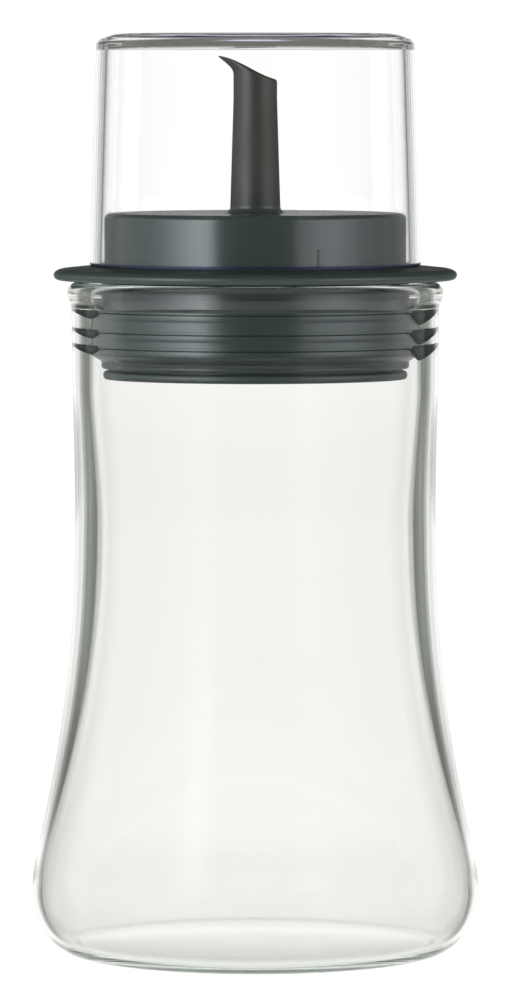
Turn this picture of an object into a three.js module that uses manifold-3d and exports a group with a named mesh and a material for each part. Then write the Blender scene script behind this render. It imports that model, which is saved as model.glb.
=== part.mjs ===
// Small table cruet for soy sauce: a blown glass bottle with a drawn-in waist,
// a black moulded stopper with a thin pouring spout, a finned seal ring round
// its plug, and a clear cup-shaped cap that stands on the stopper's flange.
// Millimetres, +Z up. The origin is the middle of the foot, on the table.

import * as THREE from 'three';
import { mergeVertices } from 'three/addons/utils/BufferGeometryUtils.js';
import Module from 'manifold-3d';

// Driving dimensions of the bottle
const BASE_RADIUS = 30.0;
const BASE_WIDEST_Z = 9.0;
const FOOT_RADIUS = 23.2;
const WAIST_RADIUS = 24.18;
const WAIST_Z = 57.0;
const NECK_RADIUS = 24.62;
const NECK_TOP_Z = 86.9;
const LIP_RADIUS = 25.2;
const LIP_TOP_Z = 90.35;
const FLOOR_THICKNESS = 1.5;
const FLOOR_RADIUS = 24.0;
const INNER_WIDEST_RADIUS = 28.8;
const INNER_WIDEST_Z = 9.0;
const INNER_WAIST_RADIUS = 21.25;
const BORE_RADIUS = 22.2;
const BORE_START_Z = 76.0;
const LIP_BEAD_UP = 1.5;
const LIP_BEAD_START_DEGREES = -25;

// How far each wall keeps upright, along Z, before it bends to the next
const BASE_PULL = 5.5;
const WAIST_PULL = 27;
const NECK_PULL = 13;
const INNER_BASE_PULL = 8;
const INNER_WAIST_PULL = 6;
const BORE_PULL = 4;

// Driving dimensions of the stopper, from the plug's end up to the spout
const PLUG_BOTTOM_Z = 77.5;
const PLUG_BEAD_RADIUS = 20.35;
const PLUG_BEAD_HEIGHT = 1.1;
const PLUG_CORE_RADIUS = 19.3;
const PLUG_WALL = 1.7;
const PLUG_EDGE = 0.5;
const FLANGE_RADIUS = 27.0;
const FLANGE_BOTTOM_Z = 90.55;
const FLANGE_WIDEST_Z = 91.25;
const FLANGE_TOP_Z = 92.4;
const FLANGE_SHOULDER_RADIUS = 25.3;
const FLANGE_SHOULDER_Z = 92.1;
const FLANGE_SEAT_RADIUS = 22.6;
const DRUM_RADIUS = 20.2;
const DRUM_TOP_Z = 99.5;
const DRUM_ROOF = 1.8;
const DRUM_EDGE = 0.8;
const SPOUT_ROOT_RADIUS = 3.35;
const SPOUT_TIP_RADIUS = 2.92;
const SPOUT_BORE_RADIUS = 2.2;
const SPOUT_FILLET = 0.9;
const SPOUT_LOW_Z = 117.3;
const SLOPE_START_Z = 114.6;
const BEAK_RISE = 3.3;
const BEAK_REACH = 5.6;
const BEAK_START_Z = 118.1;
const BEAK_NARROWING = 3;
const BEAK_CURL = 2;
const RIM_S_SHARE = 0.5;
const RIM_S_END = 0.85;
const RIB_WIDTH = 0.5;
const RIB_HEIGHT = 2.6;
const RIB_STAND_OUT = 0.22;
const RIB_SUNK = 0.6;
const RIB_ANGLES_DEGREES = [-66, 0, 114, 180];

// Driving dimensions of the seal ring
const SEAL_BORE_RADIUS = 19.35;
const SEAL_COLLAR_RADIUS = 20.6;
const SEAL_BODY_RADIUS = 21.7;
const SEAL_BOTTOM_Z = 78.9;
const SEAL_COLLAR_Z = 79.9;
const SEAL_BODY_TOP_Z = 87.3;
const SEAL_TOP_Z = 90.25;
const SEAL_EDGE = 0.4;
const FIN_TIP_HEIGHTS = [82.1, 84.2, 86.8];
const FIN_DEPTH = 1.3;
const FIN_TIP_THICKNESS = 0.3;
const FIN_CLEARANCE = 0.2;

// Driving dimensions of the cap
const CAP_BOTTOM_Z = 92.5;
const CAP_TOP_Z = 123.5;
const CAP_BOTTOM_RADIUS = 22.15;
const CAP_TOP_RADIUS = 21.3;
const CAP_WALL = 1.45;
const CAP_ROOF = 1.5;
const CAP_CORNER = 1.1;
const CAP_SHOULDER_ACROSS = 3.2;
const CAP_SHOULDER_DROP = 0.8;
const CAP_INNER_CORNER = 0.8;
const CAP_RIM_EDGE = 0.3;
const CAP_RIM_INNER_EDGE = 0.2;

// Fineness of the faceting
const SIDES = 48;
const WALL_STEPS = 10;
const NECK_STEPS = 4;
const HEEL_STEPS = 7;
const LIP_STEPS = 8;
const CORNER_STEPS = 4;
const SHOULDER_STEPS = 3;
const EDGE_STEPS = 2;
const MERGE_DISTANCE = 1e-4;

const wasm = await Module();
wasm.setup();

const point = (radius, z) => new THREE.Vector2(radius, z);

// A quarter-ellipse or other arc in the outline, from angle to angle in degrees.
function arc(centreRadius, centreZ, across, up, fromDegrees, toDegrees, steps = CORNER_STEPS) {
  const from = THREE.MathUtils.degToRad(fromDegrees);
  const to = THREE.MathUtils.degToRad(toDegrees);
  const points = [];
  for (let i = 0; i <= steps; i += 1) {
    const angle = from + ((to - from) * i) / steps;
    points.push(point(centreRadius + across * Math.cos(angle), centreZ + up * Math.sin(angle)));
  }
  return points;
}

// A smooth wall between two upright tangents, each with its own pull along Z.
function sweep(start, startPull, end, endPull, steps) {
  const curve = new THREE.CubicBezierCurve(
    start,
    point(start.x, start.y + startPull),
    point(end.x, end.y - endPull),
    end,
  );
  return curve.getPoints(steps);
}

// Removes points that two joined stretches share.
function joinOutline(...stretches) {
  const outline = [];
  for (const next of stretches.flat()) {
    const last = outline.at(-1);
    if (!last || last.distanceTo(next) > MERGE_DISTANCE) {
      outline.push(next);
    }
  }
  return outline;
}

// Turns an outline, given anticlockwise in the radius-height plane, about the Z axis.
function turn(outline) {
  const upright = new THREE.LatheGeometry(outline, SIDES);
  upright.rotateX(Math.PI / 2);
  upright.deleteAttribute('normal');
  upright.deleteAttribute('uv');
  return mergeVertices(upright, MERGE_DISTANCE);
}

function toSolid(geometry) {
  return new wasm.Manifold(new wasm.Mesh({
    numProp: 3,
    vertProperties: new Float32Array(geometry.attributes.position.array),
    triVerts: new Uint32Array(geometry.index.array),
  }));
}

function toGeometry(solid) {
  const mesh = solid.getMesh();
  const geometry = new THREE.BufferGeometry();
  geometry.setAttribute('position', new THREE.BufferAttribute(new Float32Array(mesh.vertProperties), 3));
  geometry.setIndex(new THREE.BufferAttribute(new Uint32Array(mesh.triVerts), 1));
  return geometry;
}

function named(name, geometry, material) {
  geometry.computeVertexNormals();
  const mesh = new THREE.Mesh(geometry, material);
  mesh.name = name;
  return mesh;
}

// The bottle: flat foot, round heel, wide base, waist, straight neck and a beaded lip.
// The wall is thickest at the waist and thinnest at the widest part.
function makeBottle() {
  const widest = point(BASE_RADIUS, BASE_WIDEST_Z);
  const waist = point(WAIST_RADIUS, WAIST_Z);
  const neckTop = point(NECK_RADIUS, NECK_TOP_Z);
  const innerWidest = point(INNER_WIDEST_RADIUS, INNER_WIDEST_Z);
  const innerWaist = point(INNER_WAIST_RADIUS, WAIST_Z);
  const boreStart = point(BORE_RADIUS, BORE_START_Z);
  const lipMiddle = point((LIP_RADIUS + BORE_RADIUS) / 2, LIP_TOP_Z - LIP_BEAD_UP);
  const lipAcross = LIP_RADIUS - lipMiddle.x;
  const heelAcross = BASE_RADIUS - FOOT_RADIUS;
  const innerHeelAcross = INNER_WIDEST_RADIUS - FLOOR_RADIUS;
  const innerHeelUp = INNER_WIDEST_Z - FLOOR_THICKNESS;
  const outline = joinOutline(
    [point(0, 0)],
    arc(FOOT_RADIUS, BASE_WIDEST_Z, heelAcross, BASE_WIDEST_Z, -90, 0, HEEL_STEPS),
    sweep(widest, BASE_PULL, waist, WAIST_PULL, WALL_STEPS),
    sweep(waist, NECK_PULL, neckTop, NECK_PULL, NECK_STEPS),
    arc(lipMiddle.x, lipMiddle.y, lipAcross, LIP_BEAD_UP, LIP_BEAD_START_DEGREES, 180, LIP_STEPS),
    sweep(innerWaist, INNER_WAIST_PULL, boreStart, BORE_PULL, NECK_STEPS).reverse(),
    sweep(innerWidest, INNER_BASE_PULL, innerWaist, WAIST_PULL, WALL_STEPS).reverse(),
    arc(FLOOR_RADIUS, INNER_WIDEST_Z, innerHeelAcross, innerHeelUp, 0, -90, HEEL_STEPS),
    [point(0, FLOOR_THICKNESS)],
  );
  const glass = new THREE.MeshStandardMaterial({
    color: 0xe4ebe8,
    roughness: 0.05,
    metalness: 0,
    transparent: true,
    opacity: 0.35,
  });
  return named('bottle', turn(outline), glass);
}

// Height of the spout's sloping rim above its low side, for a place along X.
function rimRise(x) {
  const along = (SPOUT_TIP_RADIUS - x) / (SPOUT_TIP_RADIUS + BEAK_REACH);
  const curved = THREE.MathUtils.smoothstep(along, 0, RIM_S_END);
  return BEAK_RISE * THREE.MathUtils.lerp(THREE.MathUtils.clamp(along, 0, 1), curved, RIM_S_SHARE);
}

// Slopes the spout's rim up to -X and curls its high side out to a beak.
function drawBeak(geometry) {
  const position = geometry.attributes.position;
  const beakTopZ = SPOUT_LOW_Z + rimRise(-SPOUT_TIP_RADIUS);
  const fullReach = BEAK_REACH - SPOUT_TIP_RADIUS;
  for (let i = 0; i < position.count; i += 1) {
    const x = position.getX(i);
    const z = position.getZ(i);
    const up = THREE.MathUtils.clamp((z - SLOPE_START_Z) / (SPOUT_LOW_Z - SLOPE_START_Z), 0, 1);
    const slopedZ = z + rimRise(x) * up;
    const curl = THREE.MathUtils.clamp((slopedZ - BEAK_START_Z) / (beakTopZ - BEAK_START_Z), 0, 1);
    const towardsBeak = Math.max(0, -x / Math.hypot(x, position.getY(i)));
    const beakX = x - fullReach * towardsBeak ** BEAK_NARROWING * curl ** BEAK_CURL;
    position.setX(i, beakX);
    position.setZ(i, z + rimRise(beakX) * up);
  }
  return geometry;
}

// The stopper: hollow plug, flange, drum and spout in one moulding, open from
// the plug's end right up through the spout.
function makeStopper() {
  const rimHalf = (SPOUT_TIP_RADIUS - SPOUT_BORE_RADIUS) / 2;
  const hollowRadius = PLUG_CORE_RADIUS - PLUG_WALL;
  const hollowTopZ = DRUM_TOP_Z - DRUM_ROOF;
  const beadTopZ = PLUG_BOTTOM_Z + PLUG_BEAD_HEIGHT;
  const flangeUnder = FLANGE_WIDEST_Z - FLANGE_BOTTOM_Z;
  const shoulderAcross = FLANGE_RADIUS - FLANGE_SHOULDER_RADIUS;
  const shoulderUp = FLANGE_SHOULDER_Z - FLANGE_WIDEST_Z;
  const drumEdgeZ = DRUM_TOP_Z - DRUM_EDGE;
  const filletZ = DRUM_TOP_Z + SPOUT_FILLET;
  const spoutMidZ = (SLOPE_START_Z + SPOUT_LOW_Z) / 2;
  const outline = joinOutline(
    [point(hollowRadius, PLUG_BOTTOM_Z)],
    arc(PLUG_BEAD_RADIUS - PLUG_EDGE, PLUG_BOTTOM_Z + PLUG_EDGE, PLUG_EDGE, PLUG_EDGE, -90, 0, EDGE_STEPS),
    [point(PLUG_BEAD_RADIUS, beadTopZ), point(PLUG_CORE_RADIUS, beadTopZ)],
    [point(PLUG_CORE_RADIUS, FLANGE_BOTTOM_Z)],
    arc(FLANGE_RADIUS - flangeUnder, FLANGE_WIDEST_Z, flangeUnder, flangeUnder, -90, 0, EDGE_STEPS),
    arc(FLANGE_SHOULDER_RADIUS, FLANGE_WIDEST_Z, shoulderAcross, shoulderUp, 0, 90),
    [point(FLANGE_SEAT_RADIUS, FLANGE_TOP_Z), point(DRUM_RADIUS, FLANGE_TOP_Z)],
    arc(DRUM_RADIUS - DRUM_EDGE, drumEdgeZ, DRUM_EDGE, DRUM_EDGE, 0, 90, EDGE_STEPS),
    arc(SPOUT_ROOT_RADIUS + SPOUT_FILLET, filletZ, SPOUT_FILLET, SPOUT_FILLET, 270, 180, EDGE_STEPS),
    [point(SPOUT_TIP_RADIUS, SLOPE_START_Z), point(SPOUT_TIP_RADIUS, spoutMidZ)],
    arc(SPOUT_BORE_RADIUS + rimHalf, SPOUT_LOW_Z - rimHalf, rimHalf, rimHalf, 0, 180),
    [point(SPOUT_BORE_RADIUS, spoutMidZ), point(SPOUT_BORE_RADIUS, SLOPE_START_Z)],
    [point(SPOUT_BORE_RADIUS, hollowTopZ), point(hollowRadius, hollowTopZ)],
    [point(hollowRadius, PLUG_BOTTOM_Z)],
  );
  let solid = toSolid(drawBeak(turn(outline)));
  for (const ribAngle of RIB_ANGLES_DEGREES) {
    const rib = new THREE.BoxGeometry(RIB_STAND_OUT + RIB_SUNK, RIB_WIDTH, RIB_HEIGHT + RIB_SUNK);
    rib.translate(
      DRUM_RADIUS + (RIB_STAND_OUT - RIB_SUNK) / 2,
      0,
      FLANGE_TOP_Z + (RIB_HEIGHT - RIB_SUNK) / 2,
    );
    rib.rotateZ(THREE.MathUtils.degToRad(ribAngle));
    rib.deleteAttribute('normal');
    rib.deleteAttribute('uv');
    solid = solid.add(toSolid(mergeVertices(rib)));
  }
  const blackPlastic = new THREE.MeshStandardMaterial({ color: 0x2b2d2c, roughness: 0.4, metalness: 0 });
  return named('spout_stopper', toGeometry(solid), blackPlastic);
}

// The seal ring: a soft sleeve on the plug, with fins that rise outwards to the bore.
function makeSealRing() {
  const finTipRadius = BORE_RADIUS - FIN_CLEARANCE;
  const collarEdgeRadius = SEAL_COLLAR_RADIUS - SEAL_EDGE;
  const fins = FIN_TIP_HEIGHTS.map((tipZ) => [
    point(SEAL_BODY_RADIUS, tipZ - FIN_DEPTH),
    point(finTipRadius, tipZ - FIN_TIP_THICKNESS),
    point(finTipRadius, tipZ),
    point(SEAL_BODY_RADIUS, tipZ + FIN_TIP_THICKNESS),
  ]);
  const outline = joinOutline(
    [point(SEAL_BORE_RADIUS, SEAL_BOTTOM_Z)],
    arc(collarEdgeRadius, SEAL_BOTTOM_Z + SEAL_EDGE, SEAL_EDGE, SEAL_EDGE, -90, 0, EDGE_STEPS),
    [point(SEAL_COLLAR_RADIUS, SEAL_COLLAR_Z)],
    ...fins,
    [point(SEAL_BODY_RADIUS, SEAL_BODY_TOP_Z), point(SEAL_COLLAR_RADIUS, SEAL_BODY_TOP_Z + SEAL_EDGE)],
    [point(SEAL_COLLAR_RADIUS, SEAL_TOP_Z), point(SEAL_BORE_RADIUS, SEAL_TOP_Z)],
    [point(SEAL_BORE_RADIUS, SEAL_BOTTOM_Z)],
  );
  const silicone = new THREE.MeshStandardMaterial({ color: 0x262827, roughness: 0.55, metalness: 0 });
  return named('seal_ring', turn(outline), silicone);
}

// The cap: a clear cup, mouth down, with drafted walls. Its flat top falls away in a
// soft shoulder to the rounded corner.
function makeCap() {
  const rimRadius = CAP_BOTTOM_RADIUS - CAP_RIM_EDGE;
  const steepest = Math.atan2(CAP_SHOULDER_ACROSS, 2 * CAP_SHOULDER_DROP);
  const cornerMiddleRadius = CAP_TOP_RADIUS - CAP_CORNER;
  const cornerMiddleZ = CAP_TOP_Z - CAP_SHOULDER_DROP - CAP_CORNER * Math.sin(steepest);
  const flatRadius = cornerMiddleRadius + CAP_CORNER * Math.cos(steepest) - CAP_SHOULDER_ACROSS;
  const shoulder = [];
  for (let i = 0; i <= SHOULDER_STEPS; i += 1) {
    const out = 1 - i / SHOULDER_STEPS;
    shoulder.push(point(flatRadius + CAP_SHOULDER_ACROSS * out, CAP_TOP_Z - CAP_SHOULDER_DROP * out ** 2));
  }
  const ceilingZ = CAP_TOP_Z - CAP_ROOF;
  const innerCornerRadius = CAP_TOP_RADIUS - CAP_WALL - CAP_INNER_CORNER;
  const innerCornerZ = ceilingZ - CAP_INNER_CORNER;
  const innerEdge = CAP_RIM_INNER_EDGE;
  const innerRimRadius = CAP_BOTTOM_RADIUS - CAP_WALL + innerEdge;
  const outline = joinOutline(
    arc(rimRadius, CAP_BOTTOM_Z + CAP_RIM_EDGE, CAP_RIM_EDGE, CAP_RIM_EDGE, -90, 0, EDGE_STEPS),
    arc(cornerMiddleRadius, cornerMiddleZ, CAP_CORNER, CAP_CORNER, 0, THREE.MathUtils.radToDeg(steepest)),
    shoulder,
    [point(0, CAP_TOP_Z), point(0, ceilingZ)],
    arc(innerCornerRadius, innerCornerZ, CAP_INNER_CORNER, CAP_INNER_CORNER, 90, 0),
    arc(innerRimRadius, CAP_BOTTOM_Z + innerEdge, innerEdge, innerEdge, 180, 270, EDGE_STEPS),
    [point(rimRadius, CAP_BOTTOM_Z)],
  );
  const clearPlastic = new THREE.MeshStandardMaterial({
    color: 0xe9e9f0,
    roughness: 0.05,
    metalness: 0,
    transparent: true,
    opacity: 0.3,
  });
  return named('clear_cap', turn(outline), clearPlastic);
}

const cruet = new THREE.Group();
cruet.add(makeBottle(), makeStopper(), makeSealRing(), makeCap());

export default cruet;
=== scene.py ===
import math

import bmesh
import bpy
from mathutils import Matrix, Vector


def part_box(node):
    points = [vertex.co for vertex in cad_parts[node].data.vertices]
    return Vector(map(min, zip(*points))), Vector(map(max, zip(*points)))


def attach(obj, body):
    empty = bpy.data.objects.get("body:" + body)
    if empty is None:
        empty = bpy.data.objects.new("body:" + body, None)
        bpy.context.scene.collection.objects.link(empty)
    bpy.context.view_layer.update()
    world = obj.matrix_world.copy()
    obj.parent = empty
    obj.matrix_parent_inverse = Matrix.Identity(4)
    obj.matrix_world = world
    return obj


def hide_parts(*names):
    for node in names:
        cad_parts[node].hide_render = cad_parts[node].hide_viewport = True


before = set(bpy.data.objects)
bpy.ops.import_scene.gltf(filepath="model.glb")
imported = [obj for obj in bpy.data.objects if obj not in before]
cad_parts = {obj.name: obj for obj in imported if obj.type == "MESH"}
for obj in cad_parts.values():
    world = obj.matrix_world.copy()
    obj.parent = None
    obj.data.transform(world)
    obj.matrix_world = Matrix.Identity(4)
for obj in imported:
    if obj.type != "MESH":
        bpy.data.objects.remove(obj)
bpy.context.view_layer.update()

mm = 0.001
scene = bpy.context.scene


# helpers for outlines, spun pieces and nodes

def arcPoints(centre, across, up, fromDegrees, toDegrees, steps=10):
    points = []
    for i in range(steps + 1):
        angle = math.radians(fromDegrees + (toDegrees - fromDegrees) * i / steps)
        points.append((centre[0] + across * math.cos(angle), centre[1] + up * math.sin(angle)))
    return points


def wallCurve(start, startPull, end, endPull, steps=40):  # both ends leave upright
    points = []
    for i in range(steps + 1):
        t = i / steps
        s = 1 - t
        r = start[0] * (s ** 3 + 3 * s * s * t) + end[0] * (3 * s * t * t + t ** 3)
        z = start[1] * s ** 3 + 3 * s * s * t * (start[1] + startPull)
        z += 3 * s * t * t * (end[1] - endPull) + end[1] * t ** 3
        points.append((r, z))
    return points


def holdCorners(outline, hold=0.15, shortest=1e-5):  # keeps shading tight where a flat meets a round
    held = [outline[0]]
    for here, there in zip(outline, outline[1:]):
        length = math.dist(here, there)
        if length < shortest:
            continue
        if length > 4 * hold:
            for part in (hold / length, 1 - hold / length):
                held.append(tuple(a + (b - a) * part for a, b in zip(here, there)))
        held.append(there)
    return held


def spinOutline(bm, outline, sides, weld=0.002):
    verts = [bm.verts.new((r * mm, 0, z * mm)) for r, z in holdCorners(outline)]
    edges = [bm.edges.new(pair) for pair in zip(verts, verts[1:])]
    bmesh.ops.spin(bm, geom=verts + edges, cent=(0, 0, 0), axis=(0, 0, 1),
                   angle=2 * math.pi, steps=sides, use_merge=True)
    bmesh.ops.remove_doubles(bm, verts=bm.verts, dist=weld * mm)
    bmesh.ops.recalc_face_normals(bm, faces=bm.faces)


def finishPiece(bm, name, node, material):
    mesh = bpy.data.meshes.new(name)
    for face in bm.faces:
        face.smooth = True
    bm.to_mesh(mesh)
    bm.free()
    piece = bpy.data.objects.new(name, mesh)
    scene.collection.objects.link(piece)
    mesh.materials.append(material)
    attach(piece, "root")
    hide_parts(node)
    print(name, "made with", len(mesh.polygons), "faces")
    return piece


def hexColour(text):  # sRGB hex to linear
    channels = [int(text[i:i + 2], 16) / 255 for i in (1, 3, 5)]
    linear = [c / 12.92 if c <= 0.04045 else ((c + 0.055) / 1.055) ** 2.4 for c in channels]
    return (*linear, 1.0)


def addNode(tree, kind, inputs=None, **settings):
    node = tree.nodes.new(kind)
    for key, value in settings.items():
        setattr(node, key, value)
    for socket, value in (inputs or {}).items():
        if isinstance(value, bpy.types.NodeSocket):
            tree.links.new(value, node.inputs[socket])
        else:
            node.inputs[socket].default_value = value
    return node


def addRamp(tree, value, stops):  # stops are (value, colour) pairs in rising order
    low, high = stops[0][0], stops[-1][0]
    along = addNode(tree, "ShaderNodeMapRange", {"Value": value, "From Min": low, "From Max": high})
    ramp = addNode(tree, "ShaderNodeValToRGB", {"Fac": along.outputs["Result"]})
    marks = ramp.color_ramp.elements
    while len(marks) < len(stops):
        marks.new(0.5)
    for mark, (place, colour) in zip(marks, stops):
        mark.position = (place - low) / (high - low)
    for mark, (place, colour) in zip(marks, stops):
        mark.color = (*colour, 1)
    return ramp


def newMaterial(name):
    material = bpy.data.materials.new(name)
    material.use_nodes = True
    material.node_tree.nodes.clear()
    return material, material.node_tree


# camera at the photograph's viewing angle, 517 x 1000

view = {
    "distance": 963.0,   # mm from the bottle's axis
    "height": 119.9,
    "aimHeight": 61.0,
    "aside": 0.43,
    "lens": 259.0,
    "sensor": 36.0,
    "nearest": 50.0,
}
cameraData = bpy.data.cameras.new("photoCamera")
cameraData.lens = view["lens"]
cameraData.sensor_width = view["sensor"]
cameraData.clip_start = view["nearest"] * mm
camera = bpy.data.objects.new("photoCamera", cameraData)
camera.location = (view["aside"] * mm, -view["distance"] * mm, view["height"] * mm)
tilt = math.atan2(view["height"] - view["aimHeight"], view["distance"])
camera.rotation_euler = (math.pi / 2 - tilt, 0, 0)
scene.collection.objects.link(camera)
scene.camera = camera
print("camera set")


# materials

# Borosilicate glass, blown in a mould: clear, smooth, faintly grey-green in the
# thick of the wall, with a slow waviness that bends what shows through it.
blownGlass = {
    "ior": 1.473,
    "tint": "#e4ede6",
    "density": 18.0,     # per metre
    "waveSize": 14.0,    # mm
    "waveDepth": 0.012,  # mm
    "waveDetail": 1.0,
    "waveRoughness": 0.4,
}


def makeBlownGlass():
    material, tree = newMaterial("blownBorosilicateGlass")
    coords = addNode(tree, "ShaderNodeTexCoord")
    wave = addNode(tree, "ShaderNodeTexNoise", {
        "Vector": coords.outputs["Object"],
        "Scale": 1 / (blownGlass["waveSize"] * mm),
        "Detail": blownGlass["waveDetail"],
        "Roughness": blownGlass["waveRoughness"],
    })
    bump = addNode(tree, "ShaderNodeBump", {
        "Height": wave.outputs["Fac"],
        "Distance": blownGlass["waveDepth"] * mm,
        "Strength": 1.0,
    })
    glass = addNode(tree, "ShaderNodeBsdfPrincipled", {
        "Base Color": (1, 1, 1, 1),
        "Roughness": 0.0,
        "IOR": blownGlass["ior"],
        "Transmission Weight": 1.0,
        "Normal": bump.outputs["Normal"],
    })
    depth = addNode(tree, "ShaderNodeVolumeAbsorption", {
        "Color": hexColour(blownGlass["tint"]),
        "Density": blownGlass["density"],
    })
    addNode(tree, "ShaderNodeOutputMaterial", {
        "Surface": glass.outputs["BSDF"],
        "Volume": depth.outputs["Volume"],
    })
    return material


# Styrene-acrylonitrile, injection moulded and polished: very clear, a little more brilliant than the glass, with a
# cool violet cast where it is seen edge on; the stronger violet line along the cut rim is painted light.
clearMoulding = {
    "ior": 1.565,
    "tint": "#dcdcf4",
    "density": 20.0,
    # colour and roughness by height, in mm: the cut rim is matt, and its violet is painted light, a painted violet
    # glint along the rim's edge
    "tone": [(92.8, "#8c8cd8"), (92.9, "#ffffff")],
    "polish": [(92.8, 0.5), (92.9, 0.0)],
}


def makeClearMoulding():
    material, tree = newMaterial("mouldedClearStyrene")
    coords = addNode(tree, "ShaderNodeTexCoord")
    height = addNode(tree, "ShaderNodeSeparateXYZ", {"Vector": coords.outputs["Object"]}).outputs["Z"]
    # the rim's violet tone is painted light: a painted violet glint along the cut rim
    tone = addRamp(tree, height, [(z * mm, hexColour(text)[:3]) for z, text in clearMoulding["tone"]])
    polish = addRamp(tree, height, [(z * mm, (value,) * 3) for z, value in clearMoulding["polish"]])
    plastic = addNode(tree, "ShaderNodeBsdfPrincipled", {
        "Base Color": tone.outputs["Color"],
        "Roughness": polish.outputs["Color"],
        "IOR": clearMoulding["ior"],
        "Transmission Weight": 1.0,
    })
    depth = addNode(tree, "ShaderNodeVolumeAbsorption", {
        "Color": hexColour(clearMoulding["tint"]),
        "Density": clearMoulding["density"],
    })
    addNode(tree, "ShaderNodeOutputMaterial", {
        "Surface": plastic.outputs["BSDF"],
        "Volume": depth.outputs["Volume"],
    })
    return material


# Black polypropylene, injection moulded: a smooth satin black with a very fine
# grain that softens the reflections, and slow flow marks from the mould.
blackMoulding = {
    # colour and roughness by height, in mm: the flange and the spout keep the mould's fine spark grain
    "tone": [(100.0, "#2a3533"), (100.6, "#24241a")],
    "polish": [(91.0, 0.45), (92.3, 0.45), (92.7, 0.24), (100.0, 0.24), (100.6, 0.5)],
    "grainSize": 0.35,   # mm, coarser than the real grain so that it shows
    "grainDepth": 0.006,
    "grainDetail": 3.0,
    "flowSize": 9.0,
    "flowDetail": 2.0,
    "flowRange": (0.3, 0.7),
    "unevenness": (0.9, 1.1),
    "ior": 1.49,
    "sheen": [(0.66, 0.5), (0.8, 0.12)],  # how much it shines, by how far it turns away from the eye
}


def makeBlackMoulding(name, values):
    material, tree = newMaterial(name)
    coords = addNode(tree, "ShaderNodeTexCoord")
    grain = addNode(tree, "ShaderNodeTexNoise", {
        "Vector": coords.outputs["Object"],
        "Scale": 1 / (values["grainSize"] * mm),
        "Detail": values["grainDetail"],
    })
    flow = addNode(tree, "ShaderNodeTexNoise", {
        "Vector": coords.outputs["Object"],
        "Scale": 1 / (values["flowSize"] * mm),
        "Detail": values["flowDetail"],
    })
    axes = addNode(tree, "ShaderNodeSeparateXYZ", {"Vector": coords.outputs["Object"]})
    tone = addRamp(tree, axes.outputs["Z"], [(z * mm, hexColour(text)[:3]) for z, text in values["tone"]])
    polish = addRamp(tree, axes.outputs["Z"], [(z * mm, (value,) * 3) for z, value in values["polish"]])
    uneven = addNode(tree, "ShaderNodeMapRange", {
        "Value": flow.outputs["Fac"],
        "From Min": values["flowRange"][0],
        "From Max": values["flowRange"][1],
        "To Min": values["unevenness"][0],
        "To Max": values["unevenness"][1],
    })
    rough = addNode(tree, "ShaderNodeMath", {0: polish.outputs["Color"], 1: uneven.outputs["Result"]},
                    operation="MULTIPLY")
    facing = addNode(tree, "ShaderNodeLayerWeight", {"Blend": 0.5})
    sheen = addRamp(tree, facing.outputs["Facing"], [(turned, (value,) * 3) for turned, value in values["sheen"]])
    bump = addNode(tree, "ShaderNodeBump", {
        "Height": grain.outputs["Fac"],
        "Distance": values["grainDepth"] * mm,
        "Strength": 1.0,
    })
    plastic = addNode(tree, "ShaderNodeBsdfPrincipled", {
        "Base Color": tone.outputs["Color"],
        "Roughness": rough.outputs[0],
        "IOR": values["ior"],
        "Specular IOR Level": sheen.outputs["Color"],
        "Normal": bump.outputs["Normal"],
    })
    addNode(tree, "ShaderNodeOutputMaterial", {"Surface": plastic.outputs["BSDF"]})
    return material


# Black silicone, compression moulded: softer and duller than the stopper.
blackSilicone = {
    "tone": [(77.0, "#273231"), (90.0, "#273231")],
    "polish": [(77.0, 0.3), (90.0, 0.3)],
    "grainSize": 0.5,
    "grainDepth": 0.004,
    "grainDetail": 3.0,
    "flowSize": 7.0,
    "flowDetail": 2.0,
    "flowRange": (0.3, 0.7),
    "unevenness": (0.9, 1.1),
    "ior": 1.49,
    "sheen": [(0.66, 0.5), (0.8, 0.3)],
}


# the bottle, blown glass

bottle = {
    "sides": 256,
    "footRadius": 23.2,
    "widestHeight": 9.0,
    "waistRadius": 24.18,
    "waistHeight": 57.0,
    "neckRadius": 24.62,
    "neckTop": 86.9,
    "lipRadius": 25.2,
    "lipBead": 1.5,
    "floorThickness": 1.5,
    "floorRadius": 24.0,
    "innerWidest": 28.8,
    "innerWidestHeight": 9.0,
    "innerWaist": 21.25,
    "boreRadius": 22.2,
    "boreStart": 76.0,
    # how far each end of a wall's curve stays upright
    "heelPull": 5.5,
    "waistPull": 27.0,
    "neckPull": 13.0,
    "innerHeelPull": 8.0,
    "innerNeckPull": 6.0,
    "borePull": 4.0,
}


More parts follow.
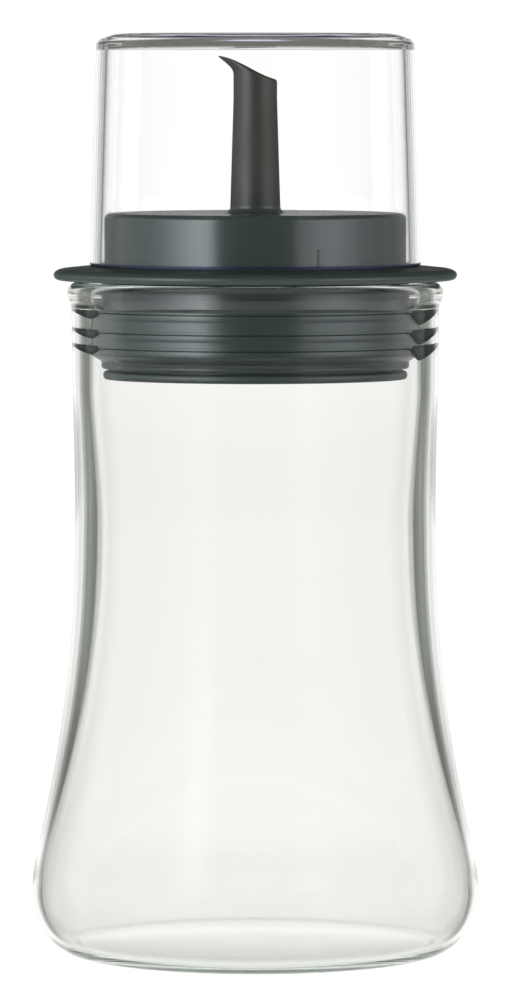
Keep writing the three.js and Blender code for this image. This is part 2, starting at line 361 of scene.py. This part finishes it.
def makeBottle():
    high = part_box("bottle")[1]
    baseRadius = high[0] / mm
    lipTop = high[2] / mm
    widest = (baseRadius, bottle["widestHeight"])
    waist = (bottle["waistRadius"], bottle["waistHeight"])
    neckTop = (bottle["neckRadius"], bottle["neckTop"])
    innerWidest = (bottle["innerWidest"], bottle["innerWidestHeight"])
    innerWaist = (bottle["innerWaist"], bottle["waistHeight"])
    boreStart = (bottle["boreRadius"], bottle["boreStart"])
    lipMiddle = ((bottle["lipRadius"] + bottle["boreRadius"]) / 2, lipTop - bottle["lipBead"])
    lipAcross = bottle["lipRadius"] - lipMiddle[0]
    outline = [(0, 0)]
    outline += arcPoints((bottle["footRadius"], widest[1]), baseRadius - bottle["footRadius"], widest[1], -90, 0,
                         steps=28)
    outline += wallCurve(widest, bottle["heelPull"], waist, bottle["waistPull"], steps=60)[1:]
    outline += wallCurve(waist, bottle["neckPull"], neckTop, bottle["neckPull"], steps=30)[1:]
    outline += arcPoints(lipMiddle, lipAcross, bottle["lipBead"], -25, 180, steps=24)
    outline += wallCurve(innerWaist, bottle["innerNeckPull"], boreStart, bottle["borePull"], steps=30)[::-1]
    outline += wallCurve(innerWidest, bottle["innerHeelPull"], innerWaist, bottle["waistPull"], steps=60)[::-1][1:]
    outline += arcPoints((bottle["floorRadius"], innerWidest[1]), innerWidest[0] - bottle["floorRadius"],
                         innerWidest[1] - bottle["floorThickness"], 0, -90, steps=24)[1:]
    outline += [(0, bottle["floorThickness"])]
    bm = bmesh.new()
    spinOutline(bm, outline, bottle["sides"])
    return finishPiece(bm, "blownBottle", "bottle", makeBlownGlass())


# the stopper, one black moulding

stopper = {
    "sides": 192,
    "beadRadius": 20.35,
    "beadHeight": 1.1,
    "beadEdges": (0.5, 0.4),  # rounding below and above
    "coreRadius": 19.3,
    "wall": 1.7,
    "flangeBottom": 90.55,
    "flangeWidest": 91.25,
    "flangeShoulder": (25.3, 92.1),
    "flangeSeat": (22.6, 92.4),
    "drumRadius": 20.2,
    "drumTop": 99.5,
    "drumEdge": 0.8,
    "drumRoof": 1.8,
    "spoutRoot": 3.35,
    "spoutTip": 2.92,
    "spoutBore": 2.2,
    "spoutLow": 117.3,
    "spoutFillet": 0.9,
    "slopeStart": 114.6,
    "beakRise": 3.3,
    "beakReach": 5.6,
    "beakStart": 118.1,
    "beakSteps": 12,
    "rimFull": 0.85,     # share of the rim's length after which its curve is level
    "rimCurve": 0.5,     # share of the rim's rise that is curved, the rest is straight
    "ribAngles": (-66, 0, 114, 180),
    "ribWidth": 0.5,
    "ribHeight": 2.6,
    "ribStandOut": 0.22,
    "ribSunk": 0.6,
    "ribRound": 0.12,
}


def between(value, low, high):
    return min(max((value - low) / (high - low), 0), 1)


def rimRise(x):  # the rim's height over its low side, along X
    along = between(-x, -stopper["spoutTip"], stopper["beakReach"])
    curved = min(along / stopper["rimFull"], 1)
    share = stopper["rimCurve"]
    return stopper["beakRise"] * ((1 - share) * along + share * curved * curved * (3 - 2 * curved))


def drawBeak(bm):  # slopes the spout's rim up to -X and curls its high side out
    low, reach = stopper["spoutLow"], stopper["beakReach"] - stopper["spoutTip"]
    for vert in bm.verts:
        x, y, z = vert.co / mm
        up = between(z, stopper["slopeStart"], low)
        if up > 0:
            curl = between(z + rimRise(x) * up, stopper["beakStart"], low + rimRise(-stopper["spoutTip"]))
            towards = max(0, -x / math.hypot(x, y))
            beakX = x - reach * towards ** 3 * curl ** 2
            vert.co.x = beakX * mm
            vert.co.z = (z + rimRise(beakX) * up) * mm


def addRibs(bm):  # small upright grip ribs round the foot of the drum
    sunk = stopper["ribSunk"]
    deep = stopper["ribStandOut"] + sunk
    tall = stopper["ribHeight"] + sunk
    for angle in stopper["ribAngles"]:
        made = bmesh.ops.create_cube(bm, size=1)["verts"]
        bmesh.ops.scale(bm, verts=made, vec=(deep * mm, stopper["ribWidth"] * mm, tall * mm))
        edges = {edge for vert in made for edge in vert.link_edges}
        rounded = bmesh.ops.bevel(bm, geom=list(edges), offset=stopper["ribRound"] * mm, offset_type="OFFSET",
                                  affect="EDGES", segments=3, profile=0.5, material=-1)
        made = [vert for vert in set(made) | set(rounded["verts"]) if vert.is_valid]
        middle = (stopper["drumRadius"] + (stopper["ribStandOut"] - sunk) / 2, 0,
                  stopper["flangeSeat"][1] + (stopper["ribHeight"] - sunk) / 2)
        bmesh.ops.translate(bm, verts=made, vec=[v * mm for v in middle])
        turn = Matrix.Rotation(math.radians(angle), 3, "Z")
        bmesh.ops.rotate(bm, verts=made, cent=(0, 0, 0), matrix=turn)


def makeStopper():
    low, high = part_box("spout_stopper")
    flangeRadius = high[0] / mm
    bottom = low[2] / mm
    hollow = stopper["coreRadius"] - stopper["wall"]
    hollowTop = stopper["drumTop"] - stopper["drumRoof"]
    beadTop = bottom + stopper["beadHeight"]
    widest, shoulder, seat = stopper["flangeWidest"], stopper["flangeShoulder"], stopper["flangeSeat"]
    under = widest - stopper["flangeBottom"]
    drum, drumTop, drumEdge = stopper["drumRadius"], stopper["drumTop"], stopper["drumEdge"]
    fillet = stopper["spoutFillet"]
    rimHalf = (stopper["spoutTip"] - stopper["spoutBore"]) / 2
    beakSteps = stopper["beakSteps"]
    lower, upper = stopper["beadEdges"]
    beakUp = stopper["spoutLow"] - rimHalf - stopper["slopeStart"]
    outline = [(hollow, bottom)]
    outline += arcPoints((stopper["beadRadius"] - lower, bottom + lower), lower, lower, -90, 0)
    outline += arcPoints((stopper["beadRadius"] - upper, beadTop - upper), upper, upper, 0, 90)
    outline += [(stopper["coreRadius"], beadTop), (stopper["coreRadius"], stopper["flangeBottom"])]
    outline += arcPoints((flangeRadius - under, widest), under, under, -90, 0)
    outline += arcPoints((shoulder[0], widest), flangeRadius - shoulder[0], shoulder[1] - widest, 0, 90, steps=16)
    outline += [seat, (drum, seat[1])]
    outline += arcPoints((drum - drumEdge, drumTop - drumEdge), drumEdge, drumEdge, 0, 90)
    outline += arcPoints((stopper["spoutRoot"] + fillet, drumTop + fillet), fillet, fillet, 270, 180)
    for i in range(beakSteps):
        outline += [(stopper["spoutTip"], stopper["slopeStart"] + beakUp * i / beakSteps)]
    outline += arcPoints((stopper["spoutBore"] + rimHalf, stopper["spoutLow"] - rimHalf), rimHalf, rimHalf, 0, 180)
    for i in reversed(range(beakSteps)):
        outline += [(stopper["spoutBore"], stopper["slopeStart"] + beakUp * i / beakSteps)]
    outline += [(stopper["spoutBore"], hollowTop), (hollow, hollowTop), (hollow, bottom)]
    bm = bmesh.new()
    spinOutline(bm, outline, stopper["sides"])
    drawBeak(bm)
    addRibs(bm)
    material = makeBlackMoulding("mouldedBlackPolypropylene", blackMoulding)
    return finishPiece(bm, "spoutStopper", "spout_stopper", material)


# the seal ring, soft silicone

seal = {
    "sides": 192,
    "bore": 19.35,
    "collarRadius": 20.6,
    "bodyRadius": 22.05,
    "collarTop": 79.9,
    "bodyTop": 87.3,
    "edge": 0.4,
    "finTips": (82.1, 84.2, 86.8),
    "finDepth": 1.3,
    "finTip": 0.15,
    "finReach": 22.25,   # just into the glass, which it presses on
    "finSpread": (1.0, 1.8),  # the pressed land is this much taller at the left and at the right
    "finNarrow": 0.37,
    "finEase": (0.42, 0.52),
    "finSlack": 0.1,     # how far the fins stand off the glass where they are not pressed
    "finNear": 0.02,     # what counts as on a fin's edge
}


def spreadFins(bm):  # the fins press on the glass at the sides, where their land is tall
    lands = [tip - seal["finTip"] for tip in seal["finTips"]]
    for vert in bm.verts:
        x, y, z = vert.co / mm
        radius = math.hypot(x, y)
        if radius > seal["finReach"] - seal["finNear"] / 2:
            sideways = abs(y) / radius
            slack = between(sideways, *seal["finEase"])
            vert.co.xy *= 1 - seal["finSlack"] * slack / radius
            if min(abs(z - land) for land in lands) < seal["finNear"]:
                spread = seal["finSpread"][int(x > 0)]
                vert.co.z -= spread * min(sideways / seal["finNarrow"], 1) * (1 - slack) * mm


def makeSeal():
    low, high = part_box("seal_ring")
    bottom, top = low[2] / mm, high[2] / mm
    edge = seal["edge"]
    body, collar = seal["bodyRadius"], seal["collarRadius"]
    outline = [(seal["bore"], bottom)]
    outline += arcPoints((collar - edge, bottom + edge), edge, edge, -90, 0)
    outline += [(collar, seal["collarTop"])]
    for tip in seal["finTips"]:
        outline += [(body, tip - seal["finDepth"])]
        outline += [(seal["finReach"], tip - seal["finTip"]), (seal["finReach"], tip)]
        outline += [(body, tip + seal["finTip"])]
    outline += [(body, seal["bodyTop"]), (collar, seal["bodyTop"] + edge)]
    outline += [(collar, top), (seal["bore"], top), (seal["bore"], bottom)]
    bm = bmesh.new()
    spinOutline(bm, outline, seal["sides"])
    spreadFins(bm)
    material = makeBlackMoulding("mouldedBlackSilicone", blackSilicone)
    return finishPiece(bm, "finnedSeal", "seal_ring", material)


# the cap, clear moulding

cap = {
    "sides": 256,
    "topRadius": 21.3,
    "wall": 1.45,
    "roof": 1.5,
    "corner": 1.1,
    "shoulder": (3.2, 0.8),  # how far in from the corner and how far up the top still rises
    "shoulderSteps": 12,
    "innerCorner": 0.8,
    "rim": 0.3,
    "innerRim": 0.2,
}


def makeCap():
    low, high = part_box("clear_cap")
    bottom, top = low[2] / mm, high[2] / mm
    bottomRadius = high[0] / mm
    inner = (cap["topRadius"] - cap["wall"], bottomRadius - cap["wall"])
    ceiling = top - cap["roof"]
    corner, innerCorner, rim, innerRim = (cap[key] for key in ("corner", "innerCorner", "rim", "innerRim"))
    across, drop = cap["shoulder"]
    steepest = math.degrees(math.atan2(across, 2 * drop))
    cornerMiddle = (cap["topRadius"] - corner, top - drop - corner * math.sin(math.radians(steepest)))
    flat = cornerMiddle[0] + corner * math.cos(math.radians(steepest)) - across
    outline = arcPoints((bottomRadius - rim, bottom + rim), rim, rim, -90, 0)
    outline += arcPoints(cornerMiddle, corner, corner, 0, steepest, steps=14)
    steps = cap["shoulderSteps"]
    outline += [(flat + across * i / steps, top - drop * (i / steps) ** 2) for i in reversed(range(steps))]
    outline += [(0, top), (0, ceiling)]
    outline += arcPoints((inner[0] - innerCorner, ceiling - innerCorner), innerCorner, innerCorner, 90, 0,
                         steps=20)
    outline += arcPoints((inner[1] + innerRim, bottom + innerRim), innerRim, innerRim, 180, 270)
    outline += [(bottomRadius - rim, bottom)]
    bm = bmesh.new()
    spinOutline(bm, outline, cap["sides"])
    return finishPiece(bm, "clearCap", "clear_cap", makeClearMoulding())


glassBottle = makeBottle()
blackPieces = [makeStopper(), makeSeal()]
clearCap = makeCap()
print("pieces done")


# studio: pale floor, white behind, a large soft light on each side

studio = {
    "floorRadius": 450.0,
    "floorColour": "#c8c9c8",
    "floorGlow": 1.0,
    "floorRoughness": 0.9,
    "floorSheen": 0.1,
    "white": 1.05,
    # brightness by angle from the camera's side, the same to the left and to the right
    "round": [(0, 0.12), (26, 0.15), (32, 0.3), (60, 0.15), (95, 0.15), (120, 0.25), (131, 0.3), (133, 0.17),
              (150.5, 0.2), (151, 0.45), (156, 0.45), (156.5, 0.99), (180, 0.99)],
    # the same for what is seen straight through the clear pieces: white paper all round, with the two dark cards
    "through": [(0, 0.95), (60, 0.9), (95, 0.8), (131, 0.5), (133, 0.17), (150.5, 0.2), (151, 0.45), (156, 0.45),
                (156.5, 0.99), (180, 0.99)],
    "dim": 0.5,                  # below this brightness the shade's cast is used
    "shade": (0.95, 1.0, 0.93),
    "bright": (1.0, 1.0, 0.975),
    # what is below and above the ring of light, each from and to the sine of its angle over the horizon
    "table": (0.86, 0.88, 0.86),
    "tableSpan": (-0.35, -0.5),
    "ceiling": (0.16, 0.165, 0.14),
    "ceilingSpan": (0.08, 0.2),
    # upright strips that light the black pieces alone: from angle, to angle, brightness, left is negative
    "strips": [(-31, -50, 7.2), (-50, -62, 5.1), (-62, -75, 2.8), (-75, -90, 1.4), (-90, -108, 1.0),
               (-108, -125, 0.7), (31, 42, 1.6), (42, 55, 2.8), (55, 68, 3.3), (68, 82, 2.2), (82, 100, 1.1),
               (100, 120, 0.5)],
    "stripDistance": 600.0,
    "stripHeight": 500.0,
    "stripMiddle": 200.0,
    "stripColour": (0.93, 0.99, 1.03),
    # what the bottle alone sees: a soft window in steps, a lighter back higher up and a panel at each side,
    # each from angle, to angle, low and high edge, brightness
    "window": [(-23, -45, 6, 49, 0.16), (-26, -42, 9, 46, 0.16), (-29, -39, 12, 43, 0.16), (-32, -36, 15, 40, 0.16),
               (150, 210, -4, 30, 0.015), (150, 210, -1.5, 30, 0.015), (150, 210, 1, 30, 0.015),
               (150, 210, 3.5, 30, 0.015), (96, 131, -25, 35, 0.25), (-131, -96, -25, 35, 0.25)],
    # what the cap alone sees straight through its wall: a lighter back, lightest where the wall turns away
    "panels": [(143, 217, -20, 35, 0.22), (151, 158, -20, 35, 0.2), (-158, -151, -20, 35, 0.2),
               (158, 167, -20, 35, 0.3), (-167, -158, -20, 35, 0.3), (167, 173, -20, 35, 0.15),
               (-173, -167, -20, 35, 0.15)],
    # and what it also mirrors inside the wall
    "edges": [(143, 151, -20, 35, 0.4), (-151, -143, -20, 35, 0.4)],
}


def makeFloor():
    bm = bmesh.new()
    bmesh.ops.create_circle(bm, cap_ends=True, segments=96, radius=studio["floorRadius"] * mm)
    mesh = bpy.data.meshes.new("paleFloor")
    bm.to_mesh(mesh)
    bm.free()
    floor = bpy.data.objects.new("paleFloor", mesh)
    scene.collection.objects.link(floor)
    material, tree = newMaterial("paleMattBoard")
    board = addNode(tree, "ShaderNodeBsdfPrincipled", {
        "Base Color": hexColour(studio["floorColour"]),
        "Roughness": studio["floorRoughness"],
        "Specular IOR Level": studio["floorSheen"],
        "Emission Color": (1, 1, 1, 1),
        "Emission Strength": studio["floorGlow"],
    })
    addNode(tree, "ShaderNodeOutputMaterial", {"Surface": board.outputs["BSDF"]})
    mesh.materials.append(material)
    floor.visible_glossy = False
    floor.visible_transmission = False


def isNone(tree, bounces):  # 1 for rays with no such bounce, else 0
    return addNode(tree, "ShaderNodeMath", {0: bounces, 1: 0.5}, operation="LESS_THAN").outputs[0]


def makeLight():
    world = bpy.data.worlds.new("softStudio")
    scene.world = world
    world.use_nodes = True
    tree = world.node_tree
    tree.nodes.clear()
    coords = addNode(tree, "ShaderNodeTexCoord")
    axes = addNode(tree, "ShaderNodeSeparateXYZ", {"Vector": coords.outputs["Generated"]})
    back = addNode(tree, "ShaderNodeMath", {0: axes.outputs["Y"], 1: -1.0}, operation="MULTIPLY")
    turn = addNode(tree, "ShaderNodeMath", {0: axes.outputs["X"], 1: back.outputs[0]}, operation="ARCTAN2")
    path = addNode(tree, "ShaderNodeLightPath")
    bounces = addNode(tree, "ShaderNodeMath", {0: path.outputs["Glossy Depth"], 1: path.outputs["Diffuse Depth"]},
                      operation="ADD")
    straight = addNode(tree, "ShaderNodeMath", {
        0: isNone(tree, bounces.outputs[0]),
        1: path.outputs["Is Transmission Ray"],
    }, operation="MULTIPLY")
    rings = []
    for part in ("round", "through"):
        right = studio[part]
        left = [(-angle, strength) for angle, strength in right[:0:-1]]
        stops = []
        for angle, strength in left + right:
            cast = studio["shade"] if strength < studio["dim"] else studio["bright"]
            stops.append((math.radians(angle), [strength * c for c in cast]))
        rings.append(addRamp(tree, turn.outputs[0], stops).outputs["Color"])
    surround = addNode(tree, "ShaderNodeMix", {
        "Factor": straight.outputs[0],
        "A": rings[0],
        "B": rings[1],
    }, data_type="RGBA").outputs["Result"]
    for part in ("table", "ceiling"):
        near, full = studio[part + "Span"]
        share = addNode(tree, "ShaderNodeMapRange", {
            "Value": axes.outputs["Z"],
            "From Min": near,
            "From Max": full,
        })
        surround = addNode(tree, "ShaderNodeMix", {
            "Factor": share.outputs["Result"],
            "A": surround,
            "B": (*studio[part], 1),
        }, data_type="RGBA").outputs["Result"]
    softLight = addNode(tree, "ShaderNodeBackground", {"Color": surround})
    white = addNode(tree, "ShaderNodeBackground", {"Color": (1, 1, 1, 1), "Strength": studio["white"]})
    mix = addNode(tree, "ShaderNodeMixShader", {
        0: path.outputs["Is Camera Ray"],
        1: softLight.outputs[0],
        2: white.outputs[0],
    })
    addNode(tree, "ShaderNodeOutputWorld", {"Surface": mix.outputs[0]})


def addSoftbox(lit, inTheWay, fromAngle, toAngle, tall, middle, brightness, colour=(1, 1, 1)):
    turn = math.radians((fromAngle + toAngle) / 2)
    away = studio["stripDistance"] * mm
    light = bpy.data.lights.new("softbox", "AREA")
    light.shape = "RECTANGLE"
    light.size = away * math.radians(abs(toAngle - fromAngle))
    light.size_y = tall * mm
    light.color = colour
    light.energy = brightness * math.pi * light.size * light.size_y
    softbox = bpy.data.objects.new("softbox", light)
    softbox.location = (away * math.sin(turn), -away * math.cos(turn), middle * mm)
    softbox.rotation_euler = (math.pi / 2, 0, turn)
    softbox.light_linking.receiver_collection = lit
    softbox.light_linking.blocker_collection = inTheWay
    scene.collection.objects.link(softbox)
    return light


def keepOffMirrored(light):  # it is seen straight through a wall, not mirrored inside the wall
    light.use_nodes = True
    tree = light.node_tree
    path = addNode(tree, "ShaderNodeLightPath")
    straight = isNone(tree, path.outputs["Glossy Depth"])
    tree.links.new(straight, tree.nodes["Emission"].inputs["Strength"])


def litGroup(name, pieces):
    lit = bpy.data.collections.new(name)
    for piece in pieces:
        lit.objects.link(piece)
    return lit


def makeSoftboxes(glassBottle, blackPieces, clearCap):  # each lights its own pieces alone
    away = studio["stripDistance"]

    def lean(degrees):
        return away * math.tan(math.radians(degrees))

    strips = litGroup("litByStrips", blackPieces)
    for fromAngle, toAngle, brightness in studio["strips"]:
        addSoftbox(strips, strips, fromAngle, toAngle, studio["stripHeight"], studio["stripMiddle"], brightness,
                   studio["stripColour"])
    for part, piece in (("window", glassBottle), ("panels", clearCap), ("edges", clearCap)):
        lit = litGroup("litBy" + part.title(), [piece])
        inTheWay = litGroup("inTheWayOf" + part.title(), [piece, *blackPieces])
        for fromAngle, toAngle, low, high, brightness in studio[part]:
            light = addSoftbox(lit, inTheWay, fromAngle, toAngle, lean(high) - lean(low),
                               (lean(low) + lean(high)) / 2, brightness)
            if part == "panels":
                keepOffMirrored(light)


makeFloor()
makeLight()
makeSoftboxes(glassBottle, blackPieces, clearCap)
scene.view_settings.view_transform = "Standard"
scene.cycles.max_bounces = 80
scene.cycles.transmission_bounces = 64
scene.cycles.glossy_bounces = 64
scene.cycles.transparent_max_bounces = 16
scene.cycles.caustics_reflective = True
scene.cycles.caustics_refractive = True
print("studio done")
